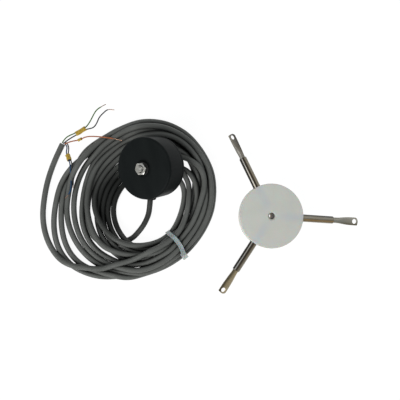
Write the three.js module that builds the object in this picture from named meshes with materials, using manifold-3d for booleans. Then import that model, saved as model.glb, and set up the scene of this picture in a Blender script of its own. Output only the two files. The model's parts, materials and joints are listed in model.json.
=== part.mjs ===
// Cup anemometer, taken apart: the sensor head lying on its coiled cable, and the rotor beside it.
// Millimetres, +Z up. The origin is on the table, under the middle of the head and the rotor.
import * as THREE from "three";
import { mergeVertices } from "three/addons/utils/BufferGeometryUtils.js";
import Module from "manifold-3d";

const wasm = await Module();
wasm.setup();

// ---------- driving dimensions ----------
const GAP = 0.3; // between pieces that touch

// Sensor head. Heights are measured along its axis, from the rear face.
const HEAD_POS = new THREE.Vector3(-90.2, 47.8, 22.8); // centre of the rear face
const HEAD_TILT = 33.8; // degrees between the head's axis and the vertical
const HEAD_LEAN = 197.4; // degrees: the direction its stud leans to
const HEAD_R = 31;
const HEAD_H = 28;
const HEAD_WALL = 3;
const HEAD_EDGE = 2.2; // rounding between front face and side
const CABLE_SIDE = 65.3; // degrees round the head's axis, to where the cable leaves
const CABLE_HEIGHT = 11; // of the cable's exit

// Spindle and its two 8 x 16 x 5 ball bearings.
const SHAFT_R = 4;
const SHOULDER = 29.7;
const STUD_R = 3.1;
const STUD_TOP = 36.3;
const NUT_FLATS = 11.1; // 7/16 inch
const NUT_H = 3.3;
const NUT_TURN = -12; // degrees
const BEARING_R = 8;
const BEARING_W = 5;
const UPPER_BEARING = 19.7;
const LOWER_BEARING = 11.9;
const BALLS = 8;
const BALL_R = 0.8;
const BALL_PITCH_R = 6;
const MAGNET_R = 8; // radius of the circle the two magnets sit on

// Rear cover and circuit board.
const COVER_H = 2.6;
const COVER_SCREW_R = 23.5;
const COVER_SCREWS = [5, 125, 245]; // degrees
const BOARD_R = 20;
const BOARD_Z = 4;
const BOARD_T = 1.6;
const BOARD_SCREW_R = 16.5;
const BOARD_SCREWS = [0, 120, 240]; // degrees

// Rotor.
const ROTOR_POS = new THREE.Vector3(32.2, -3.5, 0);
const ARM_ANGLES = [-3.7, 116.3, 236.3]; // degrees
const ARM_ROLLS = [0, 211, -22]; // degrees: how far each flat end is turned about its arm
const DISC_R = 35;
const DISC_BOTTOM = 8;
const DISC_TOP = 18;
const BOSS_R = 11;
const INSERT_R = 6;
const STUD_HOLE_R = 2.75;
const ARM_Z = 13;
const TUBE_R = 4;
const TUBE_BORE_R = 3.3;
const TUBE_START = 9.3;
const TUBE_END = 70;
const ROD_R = 3;
const ROD_START = 48;
const ROD_END = 98.5;
const EYE_AT = 94.7;
const EYE_HALF = 4.4; // half the width of the flat end
const EYE_T = 1.9;
const EYE_HOLE_R = 2.7;

// Cable: one five-metre length, wound in an oval coil.
const CABLE_R = 2.9;
const COIL_OUTER = { x: -112.7, y: 14.9, a: 91.5, b: 80, turn: 40 };
const COIL_INNER = { x: -98, y: 7.3, a: 41.3, b: 33.1, turn: 55 };
const COIL_TOP = 12.8; // height of the coil under its own centre
const COIL_RISE = 0.063; // the coil is higher towards +X
const COIL_ROUND = 2.5;
const CORE_R = 0.65;

// Cable tie.
const TIE_POS = new THREE.Vector3(-70.3, -34.2, 0);
const TIE_ACROSS = -55.8; // degrees: the direction from the coil's hole to its outside
const TIE_HALF = 16;
const TIE_W = 4.6;
const TIE_T = 1.3;
const TIE_HEIGHT = 16;
const TIE_SLOPE = 40.5; // degrees above level that its sloping stretch faces
const TIE_SLOPE_OUT = 15.8; // distance of that stretch from the middle of the floor line

// Routes of the free cord ends, chosen by hand: the cable's two ends and the six cores.
const LEAD_ROUTE = [
  [-98.8, 5, 21.5],
  [-100.3, -3, 17],
  [-103.3, -9.8, 12.5],
  [-107, -16, 8.5],
  [-112, -22.3, 5.2],
  [-118, -28.1, 3.2],
];
const TAIL_ROUTE = [
  [-118.8, -50.5, 15],
  [-136.5, -55.9, 13],
  [-150, -59.1, 10],
  [-165.8, -57.5, 6.5],
  [-177.9, -55, 4.2],
  [-191.5, -47.4, 2.95],
  [-201.6, -35.5, 2.95],
  [-207.6, -20.5, 2.95],
  [-210, -2.6, 2.95],
  [-209, 13.3, 2.95],
  [-205.2, 34.4, 2.95],
  [-197.3, 57.8, 2.95],
  [-190.7, 72.8, 2.95],
];
const CORE_ROUTES = {
  core_green: [
    [-190.7, 73.8, 4.6],
    [-186.5, 79.9, 3.2],
    [-180.5, 83.4, 2.9],
    [-176, 85.6, 2.9],
    [-167.5, 90.8, 2.6],
    [-163, 97, 1.6],
    [-160, 103, 1.3],
    [-156, 110, 1.1],
    [-151, 114, 1],
    [-146, 117, 0.8],
  ],
  core_black: [
    [-189.3, 73.2, 4.6],
    [-183.5, 78.2, 3.4],
    [-177, 82.5, 2.8],
    [-172, 86, 2.8],
    [-165, 89.3, 2.5],
    [-159, 91.5, 1.6],
    [-155, 97.5, 1.3],
    [-152.5, 103, 1.1],
    [-148, 108, 1],
    [-144, 111, 0.9],
    [-137, 111, 0.8],
  ],
  core_orange: [
    [-188.4, 72.8, 3.3],
    [-181, 75.8, 3],
    [-174, 77.3, 3.2],
    [-167, 79.5, 7.5],
    [-160, 80, 11.4],
    [-151, 79.5, 12.8],
    [-138, 78, 13],
    [-128, 76, 13.1],
  ],
  core_blue: [
    [-188.8, 72.9, 1.6],
    [-187.3, 71.9, 1.5],
    [-186.2, 68.6, 2.6],
    [-185.9, 64, 6.8],
    [-184.6, 60, 9.6],
    [-181.9, 53.8, 12.2],
    [-181, 45, 10.4],
    [-180.4, 34, 10.4],
    [-180.5, 25, 10.4],
    [-182.5, 19.5, 10.2],
    [-186, 15, 9.8],
  ],
  core_black_2: [
    [-190.5, 73.6, 1.3],
    [-188.6, 74.6, 0.8],
    [-186.3, 73.4, 0.8],
    [-184.7, 69.4, 1.3],
    [-184, 64, 6],
    [-183, 60, 9.6],
    [-180.3, 54.4, 12.3],
    [-179, 47, 10.6],
    [-178, 36, 10.6],
    [-178.2, 26, 10.5],
  ],
};
const MARKERS = {
  marker_1: { from: [-177, 83.8, 2.9], to: [-167, 90, 2.8], r: 2.6 },
  marker_2: { from: [-174.6, 77.1, 3], to: [-170.6, 78.4, 5.2], r: 1.5 },
  marker_3: { from: [-184.4, 60.6, 9.3], to: [-181.6, 54.6, 12.2], r: 2.6 },
};

// ---------- materials ----------
const material = (color, roughness, metalness = 0) =>
  new THREE.MeshStandardMaterial({ color, roughness, metalness });
const BLACK_PLASTIC = material(0x23282a, 0.55);
const BLACK_RUBBER = material(0x151515, 0.85);
const WHITE_PLASTIC = material(0xdfe1da, 0.45);
const STEEL = material(0xb9bab8, 0.25, 1);
const BRASS = material(0xb08d4a, 0.35, 1);
const MAGNET = material(0x8a8a8c, 0.35, 1);
const BOARD_GREEN = material(0x1f5a35, 0.5);
const CHIP_BLACK = material(0x1a1a1a, 0.6);
const CABLE_GREY = material(0x6f716d, 0.5);
const TIE_NYLON = material(0xcfdcdc, 0.4);
const MARKER_YELLOW = material(0xd8b53a, 0.5);
const CORE_COLOURS = {
  core_green: 0x4c8a3a,
  core_black: 0x1c1c1c,
  core_orange: 0xc2622c,
  core_blue: 0x2a5d9a,
  core_black_2: 0x16181c,
};

// ---------- solids ----------
const radians = THREE.MathUtils.degToRad;

// A three.js geometry as a manifold-3d solid.
function solid(geometry) {
  const bare = geometry.clone();
  bare.deleteAttribute("normal");
  bare.deleteAttribute("uv");
  const merged = mergeVertices(bare, 1e-4);
  return new wasm.Manifold(
    new wasm.Mesh({
      numProp: 3,
      vertProperties: merged.attributes.position.array,
      triVerts: new Uint32Array(merged.index.array),
    }),
  );
}

function geometryOf(shape) {
  const mesh = shape.getMesh();
  const geometry = new THREE.BufferGeometry();
  geometry.setAttribute("position", new THREE.BufferAttribute(mesh.vertProperties, 3));
  geometry.setIndex(new THREE.BufferAttribute(mesh.triVerts, 1));
  geometry.computeVertexNormals();
  return geometry;
}

// A body of revolution about Z. The profile is [radius, height] points, going up the outside;
// it starts and ends on the axis, or closes on itself as a ring.
function turned(profile, sides = 32) {
  const points = profile.map(([r, z]) => new THREE.Vector2(r, z));
  const ring = profile.every(([r]) => r > 0);
  if (ring) points.push(points[0].clone());
  return new THREE.LatheGeometry(points, sides).rotateX(Math.PI / 2);
}

// A ring of rectangular section, or a disc when the inner radius is 0.
function ring(inner, outer, low, high, sides = 32) {
  return turned([[inner, low], [outer, low], [outer, high], [inner, high]], sides);
}

function disc(radius, low, high, sides = 24) {
  return ring(0, radius, low, high, sides);
}

function box(x, y, z, at) {
  return new THREE.BoxGeometry(x, y, z).translate(...at);
}

// Points of a quarter round, from angle start to angle end in degrees.
function arc(x, z, r, start, end, steps = 4) {
  const at = (i) => radians(start + ((end - start) * i) / steps);
  return Array.from({ length: steps + 1 }, (_, i) => [
    x + r * Math.cos(at(i)),
    z + r * Math.sin(at(i)),
  ]);
}

// Moves a geometry out from the Z axis to a place on a circle.
const onCircle = (geometry, radius, degrees) =>
  geometry.translate(radius, 0, 0).rotateZ(radians(degrees));

// Lays a geometry made along Z so that it points outwards at an angle round Z.
const pointedOut = (geometry, degrees, height) =>
  geometry.rotateY(Math.PI / 2).rotateZ(radians(degrees)).translate(0, 0, height);

// A round cord along a curve.
function cord(curve, radius, steps, sides) {
  const section = new THREE.Shape();
  section.absarc(0, 0, radius, 0, 2 * Math.PI);
  return new THREE.ExtrudeGeometry(section, {
    extrudePath: curve,
    steps,
    curveSegments: sides / 2,
    bevelEnabled: false,
  });
}

const smooth = (points) =>
  new THREE.CatmullRomCurve3(
    points.map((p) => new THREE.Vector3(...p)),
    false,
    "centripetal",
  );

const root = new THREE.Group();

// Adds a named piece to a group, from a geometry or from a manifold-3d solid.
function add(group, name, shape, look) {
  const geometry = shape.isBufferGeometry ? shape : geometryOf(shape);
  const mesh = new THREE.Mesh(geometry, look);
  mesh.name = name;
  group.add(mesh);
  return mesh;
}

// ---------- sensor head ----------
const head = new THREE.Group();
head.position.copy(HEAD_POS);
head.rotation.set(0, radians(HEAD_TILT), radians(HEAD_LEAN), "ZYX");
root.add(head);
head.updateMatrixWorld(true);
const BORE_R = BEARING_R + 0.2; // bearing seat in the housing
const SEAT_R = 11; // outside of the bearing seat
const ROOF = HEAD_H - HEAD_WALL; // inside of the front face
const INNER_R = HEAD_R - HEAD_WALL;

function housingShell() {
  const wall = solid(
    turned(
      [
        [INNER_R, 0],
        [HEAD_R, 0],
        ...arc(HEAD_R - HEAD_EDGE, HEAD_H - HEAD_EDGE, HEAD_EDGE, 0, 90),
        [4.8, HEAD_H],
        [4.8, ROOF],
        [BORE_R, ROOF],
        [BORE_R, LOWER_BEARING - GAP],
        [SEAT_R, LOWER_BEARING - GAP],
        [SEAT_R, ROOF],
        [INNER_R, ROOF],
      ],
      48,
    ),
  );
  let shell = wall;
  for (const degrees of COVER_SCREWS) {
    shell = shell.add(solid(onCircle(disc(2.8, COVER_H + GAP, ROOF + 1, 16), COVER_SCREW_R, degrees)));
    shell = shell.subtract(solid(onCircle(disc(1.3, 0, 15, 12), COVER_SCREW_R, degrees)));
  }
  for (const degrees of BOARD_SCREWS) {
    const foot = BOARD_Z + BOARD_T + GAP;
    shell = shell.add(solid(onCircle(disc(2.2, foot, ROOF + 1, 16), BOARD_SCREW_R, degrees)));
    shell = shell.subtract(solid(onCircle(disc(1.3, 0, 14, 12), BOARD_SCREW_R, degrees)));
  }
  const hole = pointedOut(disc(4.9 + GAP, 24, 34), CABLE_SIDE, CABLE_HEIGHT);
  return shell.subtract(solid(hole));
}

function rearCover() {
  let cover = solid(
    turned(
      [
        [0, 0],
        [INNER_R - GAP, 0],
        [INNER_R - GAP, 0.8],
        [26.3, 0.8],
        [26.3, 2],
        [INNER_R - GAP, 2],
        [INNER_R - GAP, COVER_H],
        [0, COVER_H],
      ],
      40,
    ),
  );
  for (const degrees of COVER_SCREWS) {
    const sink = turned([[0, -1], [3.1 + 1, -1], [1.5, 1.6], [1.5, 4], [0, 4]], 16);
    cover = cover.subtract(solid(onCircle(sink, COVER_SCREW_R, degrees)));
  }
  return cover;
}

// A screw pointing up, its head's flat side at height low. Slotted across the head.
function screw(profile, slotFrom) {
  const slot = box(8, 0.6, 1.2, [0, 0, slotFrom]);
  return geometryOf(solid(turned(profile, 16)).subtract(solid(slot)));
}

function coverScrew() {
  return screw([[0, 0.1], [2.8, 0.1], [1, 1.7], [1, 10], [0, 10]], 0);
}

function boardScrew() {
  const low = BOARD_Z - GAP;
  return screw([[0, low - 0.7], [2.2, low - 0.7], [2.2, low], [1, low], [1, 12], [0, 12]], low - 1);
}

function circuitBoard() {
  let board = solid(disc(BOARD_R, BOARD_Z, BOARD_Z + BOARD_T, 32));
  for (const degrees of BOARD_SCREWS) {
    board = board.subtract(solid(onCircle(disc(1.4, 0, 10, 12), BOARD_SCREW_R, degrees)));
  }
  return board;
}

function oRing(radius, height, thickness) {
  return turned(arc(radius, height, thickness, 0, 270, 3), 40);
}

function addHousing() {
  add(head, "housing_shell", housingShell(), BLACK_PLASTIC);
  add(head, "rear_cover", rearCover(), BLACK_PLASTIC);
  add(head, "cover_seal", oRing(27.15, 1.4, 0.45), BLACK_RUBBER);
  COVER_SCREWS.forEach((degrees, i) => {
    add(head, `cover_screw_${i + 1}`, onCircle(coverScrew(), COVER_SCREW_R, degrees), STEEL);
  });
}

function addElectronics() {
  const top = BOARD_Z + BOARD_T + GAP;
  add(head, "circuit_board", circuitBoard(), BOARD_GREEN);
  BOARD_SCREWS.forEach((degrees, i) => {
    add(head, `board_screw_${i + 1}`, onCircle(boardScrew(), BOARD_SCREW_R, degrees), STEEL);
  });
  const sensor = box(4, 3, 1, [0, 0, top + 0.5]);
  add(head, "pulse_sensor", onCircle(sensor, MAGNET_R, 180), CHIP_BLACK);
  const terminal = box(5, 12, 4.2, [0, 0, top + 2.1]);
  add(head, "terminal_block", onCircle(terminal, 15, CABLE_SIDE), BOARD_GREEN);
  const chip = box(5, 4, 1.4, [0, 0, top + 0.7]);
  add(head, "pulse_shaper_chip", onCircle(chip, 13.5, 300), CHIP_BLACK);
}

function addCableEntry() {
  const bore = CABLE_R + GAP;
  const neck = 4.9;
  const grommet = turned([
    [bore, 25.4],
    [6, 25.4],
    [6, 27],
    [neck, 27],
    [neck, 31.3],
    [6.2, 31.3],
    [5.6, 33.2],
    [bore, 33.2],
  ], 24);
  add(head, "cable_grommet", pointedOut(grommet, CABLE_SIDE, CABLE_HEIGHT), BLACK_RUBBER);
  const clamp = ring(bore, 4.6, 22.6, 25.1, 16);
  add(head, "cable_clamp", pointedOut(clamp, CABLE_SIDE, CABLE_HEIGHT), WHITE_PLASTIC);
}

// ---------- spindle and bearings ----------
function hexNut(across, low, high, bore) {
  const corner = across / 2 / Math.cos(Math.PI / 6);
  const prism = solid(disc(corner, low, high, 6));
  const mid = across / 2;
  const chamfer = 0.45;
  const barrel = [
    [0, low],
    [mid, low],
    [corner + 0.3, low + chamfer],
    [corner + 0.3, high - chamfer],
    [mid, high],
    [0, high],
  ];
  return prism.intersect(solid(turned(barrel, 36))).subtract(solid(disc(bore, low - 1, high + 1)));
}

function ballCage(height) {
  let cage = solid(ring(BALL_PITCH_R - 0.25, BALL_PITCH_R + 0.25, height - 1.2, height + 1.2, 24));
  for (let i = 0; i < BALLS; i++) {
    const ball = new THREE.SphereGeometry(BALL_R, 6, 4).translate(0, 0, height);
    cage = cage.add(solid(onCircle(ball, BALL_PITCH_R, (360 * i) / BALLS)));
  }
  return cage;
}

function addBearing(name, low) {
  const high = low + BEARING_W;
  const inner = SHAFT_R + 0.2;
  add(head, `${name}_bearing_outer_ring`, ring(BALL_PITCH_R + 1.05, BEARING_R, low, high), STEEL);
  add(head, `${name}_bearing_inner_ring`, ring(inner, BALL_PITCH_R - 1.05, low, high), STEEL);
  add(head, `${name}_ball_cage`, ballCage(low + BEARING_W / 2), BRASS);
}

function circlip(low, high) {
  const clip = solid(ring(3.6, 6, low, high, 24));
  return clip.subtract(solid(box(5, 3, 4, [5, 0, low])));
}

function magnetCarrier(low, high) {
  let carrier = solid(ring(3.3, 10.5, low, high));
  for (const degrees of [0, 180]) {
    const pocket = onCircle(disc(1.5 + GAP, low - 1, low + 2, 16), MAGNET_R, degrees);
    carrier = carrier.subtract(solid(pocket));
  }
  return carrier;
}

function addSpindle() {
  const spindle = turned([
    [0, 7.9],
    [3, 7.9],
    [3, 10.3],
    [SHAFT_R, 10.3],
    [SHAFT_R, 10.6],
    [3.3, 10.6],
    [3.3, 11.5],
    [SHAFT_R, 11.5],
    [SHAFT_R, SHOULDER],
    [STUD_R, SHOULDER],
    [STUD_R, STUD_TOP - 0.5],
    [STUD_R - 0.5, STUD_TOP],
    [0, STUD_TOP],
  ], 24);
  add(head, "spindle", spindle, STEEL);
  const nutLow = SHOULDER + GAP;
  const nut = hexNut(NUT_FLATS, nutLow, nutLow + NUT_H, STUD_R + GAP);
  add(head, "hex_nut", geometryOf(nut).rotateZ(radians(NUT_TURN)), STEEL);
  add(head, "shaft_seal", ring(SHAFT_R + GAP, 6.5, HEAD_H + GAP, SHOULDER - 0.2), BLACK_RUBBER);
  addBearing("upper", UPPER_BEARING);
  addBearing("lower", LOWER_BEARING);
  const spacerLow = LOWER_BEARING + BEARING_W + GAP;
  add(head, "bearing_spacer", ring(SHAFT_R + GAP, 5.2, spacerLow, UPPER_BEARING - GAP), STEEL);
  add(head, "shaft_circlip", circlip(10.75, 11.4), STEEL);
  add(head, "magnet_carrier", magnetCarrier(7.5, 10), BLACK_PLASTIC);
  [0, 180].forEach((degrees, i) => {
    const magnet = onCircle(disc(1.5, 7.3, 9.2, 16), MAGNET_R, degrees);
    add(head, `magnet_${i + 1}`, magnet, MAGNET);
  });
}

// ---------- rotor ----------
const rotor = new THREE.Group();
rotor.position.copy(ROTOR_POS);
root.add(rotor);

function rotorHub() {
  let hub = solid(
    turned(
      [
        [0, 0],
        [BOSS_R, 0],
        [BOSS_R, DISC_BOTTOM],
        [DISC_R - 0.5, DISC_BOTTOM],
        [DISC_R, DISC_BOTTOM + 0.5],
        [DISC_R, DISC_TOP - 0.6],
        [DISC_R - 0.6, DISC_TOP],
        [0, DISC_TOP],
      ],
      72,
    ),
  );
  const sink = 2;
  const bore = turned([
    [0, -1],
    [INSERT_R + GAP, -1],
    [INSERT_R + GAP, 7.6],
    [STUD_HOLE_R, 7.6],
    [STUD_HOLE_R, DISC_TOP - sink],
    [STUD_HOLE_R + sink, DISC_TOP],
    [STUD_HOLE_R + sink, DISC_TOP + 1],
    [0, DISC_TOP + 1],
  ], 24);
  hub = hub.subtract(solid(bore));
  for (const degrees of ARM_ANGLES) {
    const socket = pointedOut(disc(TUBE_R + GAP, TUBE_START - GAP, DISC_R + 2, 20), degrees, ARM_Z);
    hub = hub.subtract(solid(socket));
  }
  return hub;
}

function armTube() {
  return turned([
    [TUBE_BORE_R, TUBE_START],
    [TUBE_R, TUBE_START],
    [TUBE_R, TUBE_END - 0.5],
    [TUBE_R - 0.5, TUBE_END],
    [TUBE_BORE_R, TUBE_END],
  ], 20);
}

// Plan of the rod's outer stretch, along X: it widens to the flat end, whose far corners differ.
function rodPlan() {
  const plan = new THREE.Shape();
  plan.moveTo(74, -ROD_R);
  plan.lineTo(88, -EYE_HALF + 0.3);
  plan.lineTo(ROD_END - 0.4, -EYE_HALF);
  plan.lineTo(ROD_END, -1);
  plan.quadraticCurveTo(ROD_END, 2.2, ROD_END - 3.4, EYE_HALF);
  plan.lineTo(88, EYE_HALF - 0.3);
  plan.lineTo(74, ROD_R);
  plan.closePath();
  plan.holes.push(new THREE.Path().absellipse(EYE_AT, 0, EYE_HOLE_R - 0.2, EYE_HOLE_R, 0, 2 * Math.PI));
  return plan;
}

// Side view of the whole rod, along X: it thins from round to flat.
function rodSide() {
  const half = EYE_T / 2;
  const side = new THREE.Shape();
  side.moveTo(ROD_START - 1, -4);
  side.lineTo(72, -4);
  side.lineTo(74, -ROD_R);
  side.lineTo(87, -half);
  side.lineTo(ROD_END + 1, -half);
  side.lineTo(ROD_END + 1, half);
  side.lineTo(87, half);
  side.lineTo(74, ROD_R);
  side.lineTo(72, 4);
  side.lineTo(ROD_START - 1, 4);
  side.closePath();
  return side;
}

// A rod lying along X, before it is rolled about its own axis.
function armRod() {
  const extrude = (shape, depth) => {
    const plate = new THREE.ExtrudeGeometry(shape, { depth, bevelEnabled: false, curveSegments: 6 });
    return plate.translate(0, 0, -depth / 2);
  };
  const round = disc(ROD_R, ROD_START, 87, 20).rotateY(Math.PI / 2);
  const flat = extrude(rodPlan(), 2 * ROD_R);
  const side = extrude(rodSide(), 12).rotateX(Math.PI / 2);
  return geometryOf(solid(round).add(solid(flat)).intersect(solid(side)));
}

function addRotor() {
  add(rotor, "rotor_hub", rotorHub(), WHITE_PLASTIC);
  add(rotor, "hub_insert", ring(STUD_HOLE_R, INSERT_R, 0.2, 7.3, 24), BRASS);
  ARM_ANGLES.forEach((degrees, i) => {
    add(rotor, `arm_tube_${i + 1}`, pointedOut(armTube(), degrees, ARM_Z), STEEL);
    const rod = armRod().rotateX(radians(ARM_ROLLS[i])).rotateZ(radians(degrees));
    add(rotor, `arm_rod_${i + 1}`, rod.translate(0, 0, ARM_Z), STEEL);
  });
}

// ---------- cable ----------
const cable = new THREE.Group();
root.add(cable);

function ellipse(shape, { x, y, a, b, turn }) {
  return shape.absellipse(x, y, a, b, 0, 2 * Math.PI, false, radians(turn));
}

// The point at a distance from the head's axis, on the line of the cable's exit.
function onExitLine(distance) {
  const side = radians(CABLE_SIDE);
  return head.localToWorld(
    new THREE.Vector3(distance * Math.cos(side), distance * Math.sin(side), CABLE_HEIGHT),
  );
}

const leadCurve = smooth([
  ...[22, 28, 34].map((distance) => onExitLine(distance).toArray()),
  ...LEAD_ROUTE,
]);
const tailCurve = smooth(TAIL_ROUTE);

// The coil's outer shape: an oval ring with a sloping top, cut clear of the head, the cable's
// own ends and the tie.
function coil() {
  const shape = ellipse(new THREE.Shape(), COIL_OUTER);
  shape.holes.push(ellipse(new THREE.Path(), COIL_INNER));
  const high = 20;
  const round = {
    bevelThickness: COIL_ROUND,
    bevelSize: COIL_ROUND,
    bevelOffset: -COIL_ROUND,
    bevelSegments: 2,
  };
  const depth = high - 2 * COIL_ROUND;
  const body = new THREE.ExtrudeGeometry(shape, { depth, curveSegments: 24, ...round });
  const lid = box(400, 400, 40, [0, 0, 20]).rotateY(-Math.atan(COIL_RISE));
  lid.translate(COIL_OUTER.x, 0, COIL_TOP);
  const room = disc(HEAD_R + 1, -2.5, HEAD_H + 12, 48).applyMatrix4(head.matrixWorld);
  const waist = solid(box(60, 7, 38, [0, 0, 11])).subtract(solid(tieSlab(-GAP, 9)));
  const turn = new THREE.Matrix4().makeRotationZ(radians(TIE_ACROSS)).setPosition(TIE_POS);
  const cut = solid(geometryOf(waist).applyMatrix4(turn));
  return solid(body.translate(0, 0, COIL_ROUND))
    .subtract(solid(lid))
    .subtract(solid(room))
    .subtract(solid(cord(leadCurve, CABLE_R + 0.5, 16, 10)))
    .subtract(solid(cord(tailCurve, CABLE_R + 0.5, 28, 10)))
    .subtract(cut);
}

// A slab with the tie's inner outline, grown by a margin. Its upper outer corner is cut off.
function tieSlab(grow, width) {
  const slope = radians(TIE_SLOPE);
  const low = TIE_T + GAP - grow;
  const high = TIE_T + GAP + TIE_HEIGHT + grow;
  const half = TIE_HALF + grow;
  const reach = TIE_SLOPE_OUT + grow;
  const outline = new THREE.Shape();
  outline.moveTo(-half, low);
  outline.lineTo(half, low);
  outline.lineTo(half, (reach - half * Math.cos(slope)) / Math.sin(slope));
  outline.lineTo((reach - high * Math.sin(slope)) / Math.cos(slope), high);
  outline.lineTo(-half, high);
  outline.closePath();
  const slab = new THREE.ExtrudeGeometry(outline, { depth: width, bevelEnabled: false });
  return slab.translate(0, 0, -width / 2).rotateX(Math.PI / 2);
}

function addTie() {
  const tie = new THREE.Group();
  tie.position.copy(TIE_POS);
  tie.rotation.z = radians(TIE_ACROSS);
  cable.add(tie);
  const strap = solid(tieSlab(TIE_T, TIE_W)).subtract(solid(tieSlab(0, 2 * TIE_W)));
  add(tie, "tie_strap", strap, TIE_NYLON);
  const upSlope = 1.8;
  const out = TIE_SLOPE_OUT + TIE_T + GAP + 2.8;
  const headBox = box(5.6, 6.2, 7.4, [out, 0, upSlope]).rotateY(-radians(TIE_SLOPE));
  add(tie, "tie_head", headBox, TIE_NYLON);
}

function addCable() {
  const leadSteps = 16;
  const tailSteps = 28;
  add(cable, "cable_lead", cord(leadCurve, CABLE_R, leadSteps, 10), CABLE_GREY);
  add(cable, "cable_coil", coil(), CABLE_GREY);
  add(cable, "cable_tail", cord(tailCurve, CABLE_R, tailSteps, 10), CABLE_GREY);
}

function addCores() {
  for (const [name, route] of Object.entries(CORE_ROUTES)) {
    const look = material(CORE_COLOURS[name], 0.45);
    add(cable, name, cord(smooth(route), CORE_R, 2 * route.length, 8), look);
  }
}

// A sleeve round the cores it marks, open at both ends.
function addMarkers() {
  for (const [name, { from, to, r }] of Object.entries(MARKERS)) {
    const start = new THREE.Vector3(...from);
    const along = new THREE.Vector3(...to).sub(start);
    const sleeve = ring(r - 0.4, r, 0, along.length(), 16);
    const aim = new THREE.Quaternion();
    aim.setFromUnitVectors(new THREE.Vector3(0, 0, 1), along.normalize());
    add(cable, name, sleeve.applyQuaternion(aim).translate(...from), MARKER_YELLOW);
  }
}

addHousing();
addElectronics();
addCableEntry();
addSpindle();
addRotor();
addCable();
addTie();
addCores();
addMarkers();

export default root;
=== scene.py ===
# The looks of a cup anemometer that lies taken apart: the sensor head on its coiled cable, and the rotor.
# Everything is in metres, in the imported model's frame. Lists marked "mm" are scaled by MM where they
# are used.
import json
import math

import bmesh
import bpy
import numpy as np
from mathutils import Matrix, Vector


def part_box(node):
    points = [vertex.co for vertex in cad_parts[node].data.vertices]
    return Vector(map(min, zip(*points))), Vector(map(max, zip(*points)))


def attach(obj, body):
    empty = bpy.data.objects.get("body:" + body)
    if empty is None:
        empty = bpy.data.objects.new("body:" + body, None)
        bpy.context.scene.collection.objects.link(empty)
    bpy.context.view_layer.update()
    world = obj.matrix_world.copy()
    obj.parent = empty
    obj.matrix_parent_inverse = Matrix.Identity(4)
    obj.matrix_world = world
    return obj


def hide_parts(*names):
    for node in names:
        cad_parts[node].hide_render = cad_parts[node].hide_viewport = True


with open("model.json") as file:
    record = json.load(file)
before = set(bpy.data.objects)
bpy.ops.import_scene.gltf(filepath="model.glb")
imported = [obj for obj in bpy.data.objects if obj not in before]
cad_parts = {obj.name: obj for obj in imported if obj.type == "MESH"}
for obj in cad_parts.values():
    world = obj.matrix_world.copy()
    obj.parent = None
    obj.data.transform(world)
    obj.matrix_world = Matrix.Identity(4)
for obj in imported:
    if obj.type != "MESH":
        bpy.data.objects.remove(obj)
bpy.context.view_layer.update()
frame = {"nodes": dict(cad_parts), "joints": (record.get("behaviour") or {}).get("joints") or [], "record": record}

MM = 0.001

# ---------- places, taken from the frame ----------
spin = next(joint for joint in frame["joints"] if joint["name"] == "spindle_spin")
HEAD_AXIS = Vector(spin["axis"]).normalized()
HEAD_POS = Vector(spin["pos_m"])  # centre of the head's rear face
HEAD_LEAN = math.atan2(HEAD_AXIS.y, HEAD_AXIS.x)
HEAD_TILT = math.acos(HEAD_AXIS.z)
HEAD = Matrix.Translation(HEAD_POS) @ Matrix.Rotation(HEAD_LEAN, 4, "Z") @ Matrix.Rotation(HEAD_TILT, 4, "Y")
hub_low, hub_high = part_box("rotor_hub")
ROTOR = Matrix.Translation(((hub_low.x + hub_high.x) / 2, (hub_low.y + hub_high.y) / 2, hub_low.z))

# ---------- sizes, mm ----------
HEAD_R = 31
HEAD_H = 28
HEAD_WALL = 3
HEAD_EDGE = 2.2
COVER_SCREW_R = 23.5
COVER_SCREWS = (5, 125, 245)  # degrees
CABLE_SIDE = 65.3  # degrees round the head, to where the cable leaves
CABLE_HEIGHT = 11
SHOULDER = 29.7
STUD_R = 3.1
STUD_TOP = 36.3
THREAD_PITCH = 1.27
NUT_FLATS = 11.1
NUT_LOW = 30
NUT_H = 3.3
NUT_TURN = -12  # degrees
DISC_R = 35
DISC_BOTTOM = 8
DISC_TOP = 18
BOSS_R = 11
HOLE_R = 2.75
ARM_Z = 13
ARM_ANGLES = (-3.7, 116.3, 236.3)  # degrees
ARM_ROLLS = (0, 211, -22)  # degrees
TUBE_R = 4
TUBE_BORE_R = 3.3
TUBE_START = 9.3
TUBE_END = 70
ROD_R = 3
ROD_START = 48
ROD_END = 98.5
EYE_AT = 94.7
EYE_HALF = 4.4
EYE_T = 1.9
EYE_HOLE_R = 2.7
CABLE_R = 2.9
CORE_R = 0.65
TIE_POS = np.array([-70.3, -34.2])
TIE_ACROSS = math.radians(-55.8)
TIE_W = 4.6
TIE_T = 1.3
TIE_BOW = 2.9  # how far the strap's top is pulled sideways from its ends
TIE_HEAD_SLOPE = 40.5  # degrees above level that the tie's head faces
TIE_HEAD_OUT = 2.6

# ---------- cord routes, mm ----------
# The cable's free stretch from the head down into the coil, and from the coil to its stripped end.
LEAD_ROUTE = [
    (-98.8, 5, 21.5), (-100.3, -3, 17), (-103.3, -9.8, 12.5), (-107, -16, 8.5), (-112, -22.3, 5.2),
    (-118, -28.1, 3.2),
]
TAIL_ROUTE = [
    (-118.8, -50.5, 15), (-136.5, -55.9, 13), (-150, -59.1, 10), (-165.8, -57.5, 6.5),
    (-177.9, -55, 4.2), (-191.5, -47.4, 2.95), (-201.6, -35.5, 2.95), (-207.6, -20.5, 2.95),
    (-210, -2.6, 2.95), (-209, 13.3, 2.95), (-205.2, 34.4, 2.95), (-197.3, 57.8, 2.95),
    (-190.7, 72.8, 2.95),
]

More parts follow.
